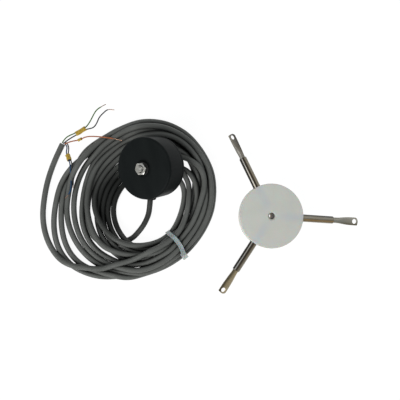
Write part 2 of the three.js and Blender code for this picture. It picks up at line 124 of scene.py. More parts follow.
# The coil's turns, from the one that the lead joins to the one that the tail leaves. Each turn passes
# eight spokes, 45 degrees apart and clockwise from above, and the cable tie is on the last spoke. A turn
# gives its radius and its height where it crosses each spoke.
COIL_CENTRE = np.array([-99.0, 8.0])
TIE_SPOKE = -54.5  # degrees
SPOKE_STEP = -45
TURNS = [
    ((60, 65.5, 64.3, 65.8, 75, 60, 41.5, 44.2), (3, 3, 3, 3, 3, 3, 3, 4.6)),
    ((47, 41.5, 36.9, 35.2, 38.5, 42.3, 35.4, 38), (4, 3, 3, 3, 3, 3, 3, 4.6)),
    ((43.5, 52, 57.8, 59.6, 69, 62.5, 53, 50.4), (11, 10, 5, 6, 6, 4, 3, 4.6)),
    ((53, 48, 43, 41.3, 45, 55.5, 48.3, 47.3), (4.1, 4, 3, 3, 4, 6, 5, 9.6)),
    ((53.5, 64.2, 65.3, 71, 78.5, 69.5, 57, 55), (9, 9, 9, 9, 9, 7, 10, 14.6)),
    ((70, 79.3, 79.3, 80.5, 84, 74.5, 61.6, 60), (11, 6, 4, 9, 11, 12, 12, 9.6)),
    ((73, 85, 87, 84.5, 89.6, 76.6, 66.2, 64), (8, 5, 5, 4.5, 5, 5, 4, 4.6)),
    ((75, 96.3, 89.8, 85.8, 85.8, 73.5, 59, 56.7), (4, 4, 3, 3, 3, 3, 3, 4.6)),
    ((64, 60, 53.5, 53.3, 58, 66.5, 52.5, 49), (4.2, 4.4, 3.3, 5, 11, 12, 11, 14.6)),
    ((63, 73.2, 70.3, 76.5, 81, 71.5, 63.5, 53.5), (9.5, 7, 4, 4, 4, 4.2, 6, 9.6)),
    ((71, 104, 95.2, 81, 79.5, 69.5, 56, 41), (3.5, 3, 3, 3, 3.2, 4.4, 6, 9.6)),
    ((58.5, 54, 48.3, 47.3, 50.5, 49.5, 41, 43), (4.1, 4.2, 3.2, 5, 10, 12, 12, 14.6)),
    ((54.4,), (15,)),
]

CORE_ROUTES = {
    "core_green": [
        (-190.7, 73.8, 4.6), (-186.5, 79.9, 3.2), (-180.5, 83.4, 2.9), (-176, 85.6, 2.9),
        (-167.5, 90.8, 2.6), (-163, 97, 1.6), (-160, 103, 1.3), (-156, 110, 1.1), (-151, 114, 1),
        (-146, 117, 0.8),
    ],
    "core_black": [
        (-189.3, 73.2, 4.6), (-183.5, 78.2, 3.4), (-177, 82.5, 2.8), (-172, 86, 2.8),
        (-165, 89.3, 2.5), (-159, 91.5, 1.6), (-155, 97.5, 1.3), (-152.5, 103, 1.1), (-148, 108, 1),
        (-144, 111, 0.9), (-137, 111, 0.8),
    ],
    "core_orange": [
        (-188.4, 72.8, 3.3), (-181, 75.8, 3), (-174, 77.3, 3.2), (-167, 79.5, 7.5),
        (-160, 80, 11.4), (-151, 79.5, 12.8), (-138, 78, 13), (-128, 76, 13.1),
    ],
    "core_blue": [
        (-188.8, 72.9, 1.6), (-187.3, 71.9, 1.5), (-186.2, 68.6, 2.6), (-185.9, 64, 6.8),
        (-184.6, 60, 9.6), (-181.9, 53.8, 12.2), (-181, 45, 10.4), (-180.4, 34, 10.4),
        (-180.5, 25, 10.4), (-182.5, 19.5, 10.2), (-186, 15, 9.8),
    ],
    "core_black_2": [
        (-190.5, 73.6, 1.3), (-188.6, 74.6, 0.8), (-186.3, 73.4, 0.8), (-184.7, 69.4, 1.3),
        (-184, 64, 6), (-183, 60, 9.6), (-180.3, 54.4, 12.3), (-179, 47, 10.6), (-178, 36, 10.6),
        (-178.2, 26, 10.5),
    ],
}
BARE_ENDS = {"core_green": 6, "core_black": 7, "core_orange": 9, "core_blue": 5, "core_black_2": 2}  # mm
MARKERS = {
    "marker_1": {"start": (-177, 83.8, 2.9), "end": (-167, 90, 2.8), "radius": 2.6},
    "marker_2": {"start": (-174.6, 77.1, 3), "end": (-170.6, 78.4, 5.2), "radius": 1.5},
    "marker_3": {"start": (-184.4, 60.6, 9.3), "end": (-181.6, 54.6, 12.2), "radius": 2.6},
}


# ---------- curves in numbers ----------
def unit(vector):
    return vector / np.linalg.norm(vector)


def along(line):
    """The distance along a line of points, at each point."""
    return np.concatenate([[0], np.cumsum(np.linalg.norm(np.diff(line, axis=0), axis=1))])


def spaced(line, step):
    """The line again, with points about step apart."""
    at = along(line)
    want = np.linspace(0, at[-1], int(round(at[-1] / step)) + 1)
    return np.stack([np.interp(want, at, line[:, k]) for k in range(3)], axis=1)


def spline(points, power=0.5, steps=16):
    """A natural cubic spline through the points, as a fine line. power sets how its speed follows the
    chords."""
    points = np.array(points, float)
    count = len(points)
    chord = np.linalg.norm(np.diff(points, axis=0), axis=1) ** power
    matrix = np.eye(count)
    right = np.zeros((count, 3))
    for i in range(1, count - 1):
        matrix[i, i - 1 : i + 2] = chord[i - 1], 2 * (chord[i - 1] + chord[i]), chord[i]
        rise = (points[i + 1] - points[i]) / chord[i] - (points[i] - points[i - 1]) / chord[i - 1]
        right[i] = 6 * rise
    bend = np.linalg.solve(matrix, right)
    line = []
    for i in range(count - 1):
        for u in np.linspace(0, chord[i], steps, endpoint=False):
            w = chord[i] - u
            curved = (bend[i] * w**3 + bend[i + 1] * u**3) / (6 * chord[i])
            straight = points[i] * w / chord[i] + points[i + 1] * u / chord[i]
            line.append(curved + straight - chord[i] / 6 * (bend[i] * w + bend[i + 1] * u))
    return np.array(line + [points[-1]])


# ---------- the coil ----------
# Worked in millimetres. The turns start on their spokes, then settle: no stretch may lie in another, in
# the floor, in the head or outside the tie.
STEP = 4.5
HEAD_MM = np.array(HEAD_POS) / MM
EX, EY, EZ = (np.array(HEAD.col[k][:3]) for k in range(3))
ACROSS = np.array([math.cos(TIE_ACROSS), math.sin(TIE_ACROSS)])
ALONG = np.array([-ACROSS[1], ACROSS[0]])
TIE_HALF = 16.3
TIE_LOW = 1.7
TIE_HIGH = 17.8


def on_exit_line(distance):
    """The point at a distance from the head's axis, on the line that the cable leaves by."""
    side = math.radians(CABLE_SIDE)
    out = math.cos(side) * EX + math.sin(side) * EY
    return HEAD_MM + distance * out + CABLE_HEIGHT * EZ


def turn_points():
    """The coil's points on its spokes. The first is left out: the lead runs past it."""
    points = []
    for radii, heights in TURNS:
        for i, (radius, height) in enumerate(zip(radii, heights)):
            angle = math.radians(TIE_SPOKE + SPOKE_STEP * (i + 1))
            spoke = np.array([math.cos(angle), math.sin(angle)])
            points.append((*(COIL_CENTRE + radius * spoke), height))
    return points[1:]


def stiffen(line, rest, hold, share=0.06):
    """Eases the line towards an even bend, measured from where it was laid."""
    away = line.copy()
    away[:, :2] -= rest[:, :2]
    bend = np.zeros_like(line)
    bend[1:-1] = away[:-2] - 2 * away[1:-1] + away[2:]
    change = np.zeros_like(line)
    change[1:-1] = bend[:-2] - 2 * bend[1:-1] + bend[2:]
    line -= share * change * hold[:, None]


def near_pairs(line, reach, skip):
    """Pairs of points less than reach apart, and more than skip points apart along the line."""
    gaps = ((line[:, None] - line[None]) ** 2).sum(2)
    index = np.arange(len(line))
    return np.nonzero((gaps < reach**2) & (index[None] - index[:, None] > skip))


def pushed(count, first, second, push, ease):
    """The change that pushes each first point and pulls each second one, shared where several meet."""
    change = np.zeros((count, 3))
    meets = np.zeros(count)
    np.add.at(change, first, push)
    np.add.at(change, second, -push)
    np.add.at(meets, first, 1)
    np.add.at(meets, second, 1)
    return change / np.maximum(meets, 1)[:, None] ** ease


def settle_heights(line, hold, skip, rounds=250):
    """Lowers the turns onto each other, each crossing keeping the turn on top that was laid on top."""
    rest = line.copy()
    order = line[:, 2] + 1e-4 * np.arange(len(line))
    first, second = near_pairs(line[:, :2], 2 * CABLE_R, skip)
    above = np.where(order[first] > order[second], first, second)
    below = np.where(order[first] > order[second], second, first)
    plan = ((line[above, :2] - line[below, :2]) ** 2).sum(1)
    clear = np.sqrt(np.maximum(4 * CABLE_R**2 - plan, 0))
    for _ in range(rounds):
        line[:, 2] -= 0.05 * hold
        for _ in range(2):
            stiffen(line, rest, hold)
            line[:, :2] = rest[:, :2]
        lack = clear - (line[above, 2] - line[below, 2])
        hit = lack > 0
        push = np.outer(lack[hit] / 2, (0, 0, 1))
        line += pushed(len(line), above[hit], below[hit], push, 0.7) * hold[:, None]
        line[:, 2] = np.maximum(line[:, 2], CABLE_R)


def keep_off_head(line, free):
    """Pushes points out of the head, through its side or its rear face, whichever is nearer."""
    local = (line - HEAD_MM) @ np.stack([EX, EY, EZ], axis=1)
    from_axis = np.hypot(local[:, 0], local[:, 1])
    inside = (from_axis < HEAD_R + CABLE_R) & (local[:, 2] > -CABLE_R) & (local[:, 2] < HEAD_H + CABLE_R)
    at = np.nonzero(inside & free)[0]
    out = HEAD_R + CABLE_R - from_axis[at]
    down = local[at, 2] + CABLE_R
    side = at[out < down]
    outwards = (local[side, :1] * EX + local[side, 1:2] * EY) / from_axis[side, None]
    line[side] += outwards * out[out < down][:, None]
    line[at[out >= down]] -= EZ * down[out >= down][:, None]


def keep_in_tie(line, free):
    offset = line[:, :2] - TIE_POS
    across = offset @ ACROSS
    near = (np.abs(offset @ ALONG) < 3.5) & (np.hypot(offset[:, 0], offset[:, 1]) < 26) & free
    over = np.clip(np.abs(across) - (TIE_HALF - CABLE_R), 0, None) * np.sign(across) * near
    line[:, :2] -= over[:, None] * ACROSS
    line[near, 2] = np.clip(line[near, 2], TIE_LOW + CABLE_R, TIE_HIGH - CABLE_R)


def settle(line, hold, free, skip, rounds=240):
    """Pushes stretches that lie in each other apart in space, while the bend stays even."""
    rest = line.copy()
    for turn in range(rounds):
        if turn % 6 == 0:
            first, second = near_pairs(line, 2 * CABLE_R + 2.5, skip)
        weight = 0.06 if turn < rounds - 50 else 0.012
        line[:, 2] -= weight * hold
        line[:, :2] += 0.05 * (rest[:, :2] - line[:, :2])
        for _ in range(4):
            stiffen(line, rest, hold)
        for _ in range(3):
            apart = line[first] - line[second]
            gap = np.linalg.norm(apart, axis=1)
            hit = gap < 2 * CABLE_R
            push = apart[hit] * ((2 * CABLE_R - gap[hit]) / (gap[hit] + 1e-9) * 0.35)[:, None]
            line += pushed(len(line), first[hit], second[hit], push, 0.6) * hold[:, None]
            line[:, 2] = np.maximum(line[:, 2], CABLE_R)
            keep_off_head(line, free)
            keep_in_tie(line, free)


def cable_line():
    """The cable's centreline from inside the head to its stripped end, mm."""
    lead = [on_exit_line(distance) for distance in (22, 28, 34)] + LEAD_ROUTE
    line = spaced(spline(lead + turn_points() + TAIL_ROUTE, power=0.75), STEP)
    index = np.arange(len(line))
    hold = np.where(index < 6, 0.0, 1.0)
    free = index > 14
    skip = int(6 * CABLE_R / STEP) + 1
    settle_heights(line, hold, skip)
    settle(line, hold, free, skip)
    return line


# ---------- materials ----------
class Shader:
    """A material's nodes, with short ways to add one and to join it."""

    def __init__(self, name, color, roughness, metallic=0.0, **more):
        self.material = bpy.data.materials.new(name)
        self.material.use_nodes = True
        self.tree = self.material.node_tree
        self.surface = self.tree.nodes["Principled BSDF"]
        self.place = self.add("ShaderNodeTexCoord").outputs["Object"]
        self.set(Base_Color=(*color, 1), Roughness=roughness, Metallic=metallic, **more)
        self.material.diffuse_color = (*color, 1)

    def put(self, socket, value):
        if isinstance(value, bpy.types.NodeSocket):
            self.tree.links.new(value, socket)
        else:
            socket.default_value = value

    def set(self, **inputs):
        for name, value in inputs.items():
            self.put(self.surface.inputs[name.replace("_", " ")], value)

    def add(self, kind, inputs=(), **settings):
        node = self.tree.nodes.new(kind)
        for name, value in settings.items():
            setattr(node, name, value)
        for name, value in dict(inputs).items():
            self.put(node.inputs[name], value)
        return node

    def noise(self, size_mm, stretch=(1, 1, 1), detail=3.0):
        """A noise from 0 to 1, with features of a size, longer along a stretched axis."""
        scale = [1 / (size_mm * MM * s) for s in stretch]
        mapped = self.add("ShaderNodeMapping", {"Vector": self.place, "Scale": scale})
        texture = self.add(
            "ShaderNodeTexNoise", {"Vector": mapped.outputs["Vector"], "Scale": 1.0, "Detail": detail}
        )
        return texture.outputs["Fac"]

    def ramp(self, factor, *stops):
        """A colour ramp over (position, colour) stops."""
        node = self.add("ShaderNodeValToRGB", {"Fac": factor})
        elements = node.color_ramp.elements
        while len(elements) < len(stops):
            elements.new(0.5)
        for element, (position, color) in zip(elements, stops):
            element.position = position
            element.color = (*color, 1)
        return node.outputs["Color"]

    def span(self, factor, low, high, start=0.3, end=0.7):
        """A number from low to high as the factor goes from start to end."""
        ranges = {"Value": factor, "From Min": start, "From Max": end, "To Min": low, "To Max": high}
        return self.add("ShaderNodeMapRange", ranges).outputs["Result"]

    def math(self, operation, first, second=0.0):
        node = self.add("ShaderNodeMath", operation=operation)
        self.put(node.inputs[0], first)
        self.put(node.inputs[1], second)
        return node.outputs["Value"]

    def mix(self, factor, first, second):
        node = self.add("ShaderNodeMix", data_type="RGBA")
        self.put(node.inputs["Factor"], factor)
        self.put(node.inputs[6], first)
        self.put(node.inputs[7], second)
        return node.outputs[2]

    def mottle(self, color, share, pattern):
        """The base colour, down to a share of it where the pattern is low."""
        darker = tuple(share * c for c in color)
        self.set(Base_Color=self.ramp(pattern, (0.3, darker), (0.7, color)))

    def multiplied(self, factor, first, second):
        node = self.add("ShaderNodeMix", data_type="RGBA", blend_type="MULTIPLY")
        self.put(node.inputs["Factor"], factor)
        self.put(node.inputs[6], first)
        self.put(node.inputs[7], second)
        return node.outputs[2]

    def radius(self, split):
        """The distance from the local Z axis, from the place's separate coordinates."""
        plan = self.add("ShaderNodeCombineXYZ", {"X": split.outputs["X"], "Y": split.outputs["Y"]})
        length = self.add("ShaderNodeVectorMath", {0: plan.outputs["Vector"]}, operation="LENGTH")
        return length.outputs["Value"]

    def shaded(self, color, reach, deepest=0.0, closed=0.1, opened=0.9):
        """A colour with painted shade: made darker where surfaces within reach, in metres, leave less of the sky
        open.
        """
        node = self.add("ShaderNodeAmbientOcclusion", {"Distance": reach}, samples=8)
        open_part = self.span(node.outputs["AO"], deepest, 1, closed, opened)
        return self.multiplied(1.0, color, open_part)

    def bump(self, height, depth_mm, strength=0.5):
        node = self.add(
            "ShaderNodeBump", {"Height": height, "Distance": depth_mm * MM, "Strength": strength}
        )
        self.set(Normal=node.outputs["Normal"])


def black_plastic():
    """Moulded black plastic with a spark-eroded grain, faint handling marks, and painted shade where other
    surfaces are near.
    """
    shader = Shader("black_plastic", (0.007, 0.0085, 0.0085), 0.5, Specular_IOR_Level=0.05)
    grain = shader.noise(0.35, detail=2)
    marks = shader.noise(14, (1, 3, 1), 5)
    shade = shader.ramp(marks, (0.3, (0.008, 0.0098, 0.0098)), (0.75, (0.0125, 0.015, 0.0146)))
    # Painted shade: the colour darkens where other surfaces lie within 30 mm.
    shader.set(Base_Color=shader.shaded(shade, 0.03), Roughness=shader.span(marks, 0.4, 0.52))
    shader.bump(grain, 0.04, 0.25)
    return shader.material


def rubber():
    shader = Shader("rubber", (0.012, 0.012, 0.012), 0.75)
    dust = shader.noise(5, detail=6)
    shader.set(Base_Color=shader.ramp(dust, (0.4, (0.009, 0.009, 0.009)), (0.8, (0.024, 0.023, 0.021))))
    shader.bump(shader.noise(0.3), 0.04, 0.4)
    return shader.material


RINGS_PER_M = 9000


def turned_steel():
    """Bright turned steel: fine rings round the local Z axis, with painted shade in its crevices."""
    shader = Shader("steel", (0.62, 0.61, 0.57), 0.24, 1.0)
    split = shader.add("ShaderNodeSeparateXYZ", {"Vector": shader.place})
    rings = shader.add(
        "ShaderNodeTexNoise",
        {"W": shader.math("MULTIPLY", shader.radius(split), RINGS_PER_M), "Detail": 3.0},
        noise_dimensions="1D",
    ).outputs["Fac"]
    patches = shader.noise(2.5, detail=4)
    tint = shader.ramp(patches, (0.35, (0.50, 0.48, 0.43)), (0.7, (0.74, 0.73, 0.69)))
    # Painted shade: the colour darkens in crevices, such as round the stud in the nut, where other surfaces lie
    # within 2.2 mm.
    tint = shader.shaded(tint, 0.0022, 0.0, 0.35, 0.8)
    shader.set(Base_Color=tint, Roughness=shader.span(rings, 0.3, 0.42))
    shader.bump(rings, 0.01, 0.12)
    return shader.material


def arm_metal(name, flank, *bands):
    """Drawn nickel-plated metal along the local X axis, dulled in long streaks. The bands are painted reflections
    and highlights from one side to the other, and flank is the side that they start from, 1 or -1."""
    shader = Shader(name, (0.3, 0.28, 0.24), 0.4, 0.5, Specular_IOR_Level=0.3)
    split = shader.add("ShaderNodeSeparateXYZ", {"Vector": shader.place})
    streaks = shader.noise(0.6, (80, 1, 1), 4)
    tarnish = shader.noise(5, (3, 1, 1), 5)
    side = shader.math("MULTIPLY", split.outputs["Y"], -0.5 * flank / (TUBE_R * MM))
    wander = shader.span(streaks, 0.46, 0.54)
    place = shader.math("ADD", side, wander)
    brown = shader.ramp(tarnish, (0.42, (1, 1, 1)), (0.75, (0.88, 0.76, 0.6)))
    # Painted reflections and highlights: the bands' colours run across the metal from one flank to the other.
    tint = shader.multiplied(0.7, shader.ramp(place, *bands), brown)
    shader.set(Base_Color=tint, Roughness=shader.span(streaks, 0.36, 0.5))
    shader.bump(streaks, 0.01, 0.15)
    return shader.material


def brass(name="brass"):
    # Darker than clean brass: painted shade, so that the insert looks shaded down in the hub's bore.
    shader = Shader(name, (0.2, 0.13, 0.055), 0.5, 0.7)
    worn = shader.noise(2, detail=5)
    shader.set(Base_Color=shader.ramp(worn, (0.3, (0.13, 0.085, 0.035)), (0.7, (0.26, 0.18, 0.08))))
    shader.bump(shader.noise(0.4), 0.02, 0.3)
    return shader.material


def magnet():
    shader = Shader("magnet", (0.5, 0.5, 0.5), 0.22, 1.0)
    shader.set(Roughness=shader.span(shader.noise(0.8), 0.16, 0.32))
    return shader.material


def hub_plastic():
    """Natural white plastic that lets some light in: the metal in its sockets shows as faint cool bands. Its bore
    is darkened with painted shade.
    """
    shader = Shader("hub_plastic", (0.66, 0.67, 0.62), 0.46, Subsurface_Weight=0.25, Subsurface_Scale=0.002)
    split = shader.add("ShaderNodeSeparateXYZ", {"Vector": shader.place})
    bands = None
    for degrees in ARM_ANGLES:
        angle = math.radians(degrees)
        forward = shader.math(
            "ADD",
            shader.math("MULTIPLY", split.outputs["X"], math.cos(angle)),
            shader.math("MULTIPLY", split.outputs["Y"], math.sin(angle)),
        )
        sideways = shader.math(
            "SUBTRACT",
            shader.math("MULTIPLY", split.outputs["Y"], math.cos(angle)),
            shader.math("MULTIPLY", split.outputs["X"], math.sin(angle)),
        )
        beside = shader.span(shader.math("ABSOLUTE", sideways), 1, 0, 1.5 * MM, 6.5 * MM)
        ahead = shader.span(forward, 0, 1, 6 * MM, 15 * MM)
        band = shader.math("MULTIPLY", beside, ahead)
        bands = band if bands is None else shader.math("MAXIMUM", bands, band)
    cloud = shader.noise(16, detail=4)
    plain = shader.ramp(cloud, (0.3, (0.685, 0.69, 0.62)), (0.7, (0.72, 0.72, 0.655)))
    weight = shader.math("MULTIPLY", bands, 0.6)
    cool = shader.mix(weight, plain, (0.62, 0.65, 0.67, 1))
    # Painted shade in the bore: the colour turns dark brown within 3.1 mm of the axis, fading out by 3.7 mm.
    painted_hole_shade = shader.span(shader.radius(split), 1, 0, 3.1 * MM, 3.7 * MM)
    shader.set(Base_Color=shader.mix(painted_hole_shade, cool, (0.07, 0.05, 0.03, 1)))
    shader.set(Roughness=shader.span(shader.noise(1.2, detail=5), 0.38, 0.5))
    shader.bump(shader.noise(0.5, (1, 1, 1), 4), 0.03, 0.25)
    return shader.material


def nylon(name, color):
    """Translucent nylon."""
    shader = Shader(
        name, color, 0.34, Subsurface_Weight=0.35, Subsurface_Scale=0.0015, Transmission_Weight=0.25
    )
    shader.mottle(color, 0.88, shader.noise(3, detail=4))
    shader.bump(shader.noise(0.6), 0.03, 0.3)
    return shader.material


# The head keeps the light off the coil's inner turns and the lead. The lamps here don't cast that shade, so
# the jacket's colour is darkened round this point, and fades to its own colour between these distances.
SHADE_MIDDLE = (-0.126, 0.010, 0.008)
SHADE_FROM = 27 * MM
SHADE_TO = 47 * MM


def cable_jacket():
    """Grey PVC: satin, with a fine drawn grain, dusty paler patches, painted shade in the crevices between turns,
    and a painted shade under the head.
    """
    shader = Shader("cable_jacket", (0.09, 0.093, 0.085), 0.48, Specular_IOR_Level=0.2)
    dust = shader.noise(22, detail=5)
    fine = shader.noise(0.45, detail=3)
    scuff = shader.noise(3.5, detail=6)
    tint = shader.ramp(
        dust, (0.3, (0.118, 0.122, 0.112)), (0.55, (0.14, 0.144, 0.133)), (0.8, (0.168, 0.172, 0.161))
    )
    # Painted shade: the colour darkens in the crevices between turns, where other surfaces lie within 12 mm.
    tint = shader.shaded(tint, 0.012, 0.1)
    away = shader.add("ShaderNodeVectorMath", {0: shader.place, 1: SHADE_MIDDLE}, operation="DISTANCE")
    in_light = shader.span(away.outputs["Value"], 0, 1, SHADE_FROM, SHADE_TO)
    dark = shader.shaded((0.021, 0.022, 0.02, 1), 0.012, 0.3)
    tint = shader.mix(in_light, dark, tint)
    shader.set(Base_Color=tint, Roughness=shader.span(scuff, 0.42, 0.58))
    shader.bump(fine, 0.03, 0.2)
    return shader.material


def core_insulation(name, color):
    shader = Shader(name, color, 0.35)
    shader.mottle(color, 0.7, shader.noise(1.5, detail=4))
    shader.bump(shader.noise(0.3), 0.02, 0.3)
    return shader.material


def copper():
    shader = Shader("copper", (0.62, 0.36, 0.24), 0.32, 1.0)
    tint = shader.ramp(shader.noise(0.8), (0.3, (0.48, 0.27, 0.18)), (0.7, (0.72, 0.47, 0.33)))
    shader.set(Base_Color=tint)
    return shader.material


def marker_yellow():
    """Yellow marker tape, creased and a little dirty."""
    shader = Shader("marker", (0.62, 0.42, 0.045), 0.42)
    dirt = shader.noise(1.1, detail=5)
    tint = shader.ramp(dirt, (0.28, (0.33, 0.19, 0.02)), (0.55, (0.6, 0.4, 0.045)), (0.8, (0.74, 0.53, 0.1)))
    shader.set(Base_Color=tint)
    shader.bump(shader.noise(0.8, detail=5), 0.15, 0.5)
    return shader.material


def circuit_board():
    """Green solder mask, with paler copper tracks under it."""
    shader = Shader("board", (0.02, 0.13, 0.05), 0.3)
    bricks = shader.add(
        "ShaderNodeTexBrick",
        {
            "Vector": shader.place,
            "Scale": 260.0,
            "Mortar Size": 0.03,
            "Color1": (0.016, 0.11, 0.04, 1),
            "Color2": (0.016, 0.11, 0.04, 1),
            "Mortar": (0.035, 0.22, 0.08, 1),
        },
    )
    shader.set(Base_Color=bricks.outputs["Color"])
    shader.bump(bricks.outputs["Fac"], -0.03, 0.4)
    return shader.material


def plain_plastic(name, color, roughness=0.4):
    shader = Shader(name, color, roughness)
    shader.mottle(color, 0.8, shader.noise(4, detail=4))
    shader.bump(shader.noise(0.4), 0.03, 0.3)
    return shader.material


# Colours across an arm's tube and rod: painted reflections and highlights. They stand in for what the surroundings
# would show in the metal, so they differ between the arms.
TUBE_1_REFLECTIONS = (
    (0.0, (0.02, 0.018, 0.015)),
    (0.10, (0.05, 0.045, 0.035)),
    (0.20, (0.34, 0.33, 0.29)),
    (0.50, (0.27, 0.25, 0.20)),
    (0.62, (0.22, 0.19, 0.14)),
    (0.72, (0.40, 0.25, 0.10)),
    (0.82, (0.20, 0.16, 0.10)),
    (1.0, (0.30, 0.26, 0.20)),
)
TUBE_REFLECTIONS = (
    (0.0, (0.02, 0.018, 0.015)),
    (0.13, (0.03, 0.027, 0.02)),
    (0.22, (0.75, 0.73, 0.68)),
    (0.34, (0.05, 0.042, 0.03)),
    (0.52, (0.06, 0.045, 0.03)),
    (0.62, (0.26, 0.23, 0.17)),
    (0.86, (0.32, 0.29, 0.23)),
    (1.0, (0.10, 0.09, 0.07)),
)
ROD_1_REFLECTIONS = ((0.1, (0.38, 0.365, 0.31)), (0.6, (0.32, 0.31, 0.26)), (0.9, (0.2, 0.18, 0.13)))
ROD_2_REFLECTIONS = ((0.1, (0.11, 0.1, 0.085)), (0.4, (0.21, 0.2, 0.175)), (0.9, (0.3, 0.29, 0.26)))
ROD_3_REFLECTIONS = ((0.1, (0.12, 0.1, 0.06)), (0.4, (0.42, 0.34, 0.2)), (0.9, (0.52, 0.44, 0.29)))

LOOKS = {
    "black_plastic": black_plastic(),
    "rubber": rubber(),
    "steel": turned_steel(),
    "brass": brass(),
    "magnet": magnet(),
    "hub_plastic": hub_plastic(),
    "white_plastic": plain_plastic("white_plastic", (0.7, 0.7, 0.68)),
    "board": circuit_board(),
    "terminal": plain_plastic("terminal", (0.04, 0.22, 0.09)),
    "chip": plain_plastic("chip", (0.015, 0.015, 0.016), 0.55),
    "cable_jacket": cable_jacket(),
    "nylon": nylon("nylon", (0.54, 0.61, 0.61)),
    "nylon_head": nylon("nylon_head", (0.76, 0.79, 0.76)),
    "core_green": core_insulation("core_green", (0.10, 0.22, 0.045)),
    "core_black": core_insulation("core_black", (0.012, 0.013, 0.018)),
    "core_orange": core_insulation("core_orange", (0.52, 0.15, 0.045)),
    "core_blue": core_insulation("core_blue", (0.02, 0.075, 0.17)),
    "copper": copper(),
    "marker": marker_yellow(),
    "tube_1": arm_metal("tube_metal_1", 1, *TUBE_1_REFLECTIONS),
    "tube_2": arm_metal("tube_metal_2", 1, *TUBE_REFLECTIONS),
    "tube_3": arm_metal("tube_metal_3", -1, *TUBE_REFLECTIONS),
    "rod_1": arm_metal("rod_metal_1", 1, *ROD_1_REFLECTIONS),
    "rod_2": arm_metal("rod_metal_2", 1, *ROD_2_REFLECTIONS),
    "rod_3": arm_metal("rod_metal_3", -1, *ROD_3_REFLECTIONS),
}


def look_of(slot):
    """The material of a record's slot."""
    return LOOKS["tube_1" if slot == "arm_metal" else slot]


# ---------- meshes ----------
def new_object(name, data, look, place=Matrix.Identity(4)):
    piece = bpy.data.objects.new(name, data)
    bpy.context.scene.collection.objects.link(piece)
    piece.matrix_world = place
    if look:
        data.materials.append(LOOKS[look])
    return piece


def mesh_object(name, points, faces, look=None, place=Matrix.Identity(4)):
    """A smooth-shaded piece from points in mm."""
    mesh = bpy.data.meshes.new(name)
    mesh.from_pydata([[c * MM for c in point] for point in points], [], faces)
    work = bmesh.new()
    work.from_mesh(mesh)
    bmesh.ops.recalc_face_normals(work, faces=work.faces)
    work.to_mesh(mesh)
    work.free()
    mesh.shade_smooth()
    return new_object(name, mesh, look, place)


def lofted(name, sections, look=None, place=Matrix.Identity(4), closed=False):
    """A tube through sections with equal numbers of points. closed joins the last to the first, and
    otherwise both ends get a cap."""
    count = len(sections[0])
    points = [tuple(point) for section in sections for point in section]
    faces = []
    for i in range(len(sections) if closed else len(sections) - 1):
        a, b = i * count, (i + 1) % len(sections) * count
        faces += [(a + k, a + (k + 1) % count, b + (k + 1) % count, b + k) for k in range(count)]
    if not closed:
        faces += [tuple(range(count)), tuple(range(len(points) - count, len(points)))]
    return mesh_object(name, points, faces, look, place)


def turned(name, profile, look=None, place=Matrix.Identity(4), sides=96):
    """A body turned about Z. The profile's (radius, height) points, mm, close on themselves as a ring,
    or start and end on the axis."""
    ring = all(radius > 0 for radius, _ in profile)
    rims = profile if ring else profile[1:-1]
    angles = [2 * math.pi * k / sides for k in range(sides)]
    points = [(r * math.cos(a), r * math.sin(a), z) for r, z in rims for a in angles]
    faces = []
    for i in range(len(rims) if ring else len(rims) - 1):
        a, b = i * sides, (i + 1) % len(rims) * sides
        faces += [(a + k, a + (k + 1) % sides, b + (k + 1) % sides, b + k) for k in range(sides)]
    if not ring:
        faces += [tuple(range(sides)), tuple(range(len(points) - sides, len(points)))]
    return mesh_object(name, points, faces, look, place)


def rounded_edges(piece, width, segments=3, angle=30):
    """Rounds a piece's sharp edges by width, mm."""
    bevel = piece.modifiers.new("edges", "BEVEL")
    bevel.width = width * MM
    bevel.segments = segments
    bevel.limit_method = "ANGLE"
    bevel.angle_limit = math.radians(angle)
    bevel.harden_normals = True
    return piece


def cut(piece, *cutters, operation="DIFFERENCE"):
    """Cuts the cutters out of a piece, and removes them."""
    for cutter in cutters:
        boolean = piece.modifiers.new("cut", "BOOLEAN")
        boolean.operation = operation
        boolean.solver = "EXACT"
        boolean.object = cutter
    made_real(piece)
    for cutter in cutters:
        bpy.data.objects.remove(cutter)
    return piece


def made_real(piece):
    """Makes a piece's modifiers part of its mesh."""
    bpy.context.view_layer.update()
    graph = bpy.context.evaluated_depsgraph_get()
    mesh = bpy.data.meshes.new_from_object(piece.evaluated_get(graph))
    piece.modifiers.clear()
    piece.data = mesh
    return piece


def arc(x, z, r, start, end, steps=8):
    angles = [math.radians(start + (end - start) * i / steps) for i in range(steps + 1)]
    return [(x + r * math.cos(a), z + r * math.sin(a)) for a in angles]


def finished(piece, body, slot, *nodes):
    """Gives a piece its body and hides the CAD nodes that it stands for. slot is not used."""
    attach(piece, body)
    if nodes:
        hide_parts(*nodes)
    return piece


def pointing(degrees, height):
    """A frame with Z pointing outwards at an angle round the parent's Z, at a height in mm."""
    out = Matrix.Rotation(math.radians(degrees), 4, "Z") @ Matrix.Rotation(math.pi / 2, 4, "Y")
    return Matrix.Translation((0, 0, height * MM)) @ out


# ---------- sensor head ----------
def disc_profile(radius, low, high):
    return [(0, low), (radius, low), (radius, high), (0, high)]


def on_circle(radius, degrees):
    angle = math.radians(degrees)
    return Matrix.Translation((radius * math.cos(angle) * MM, radius * math.sin(angle) * MM, 0))


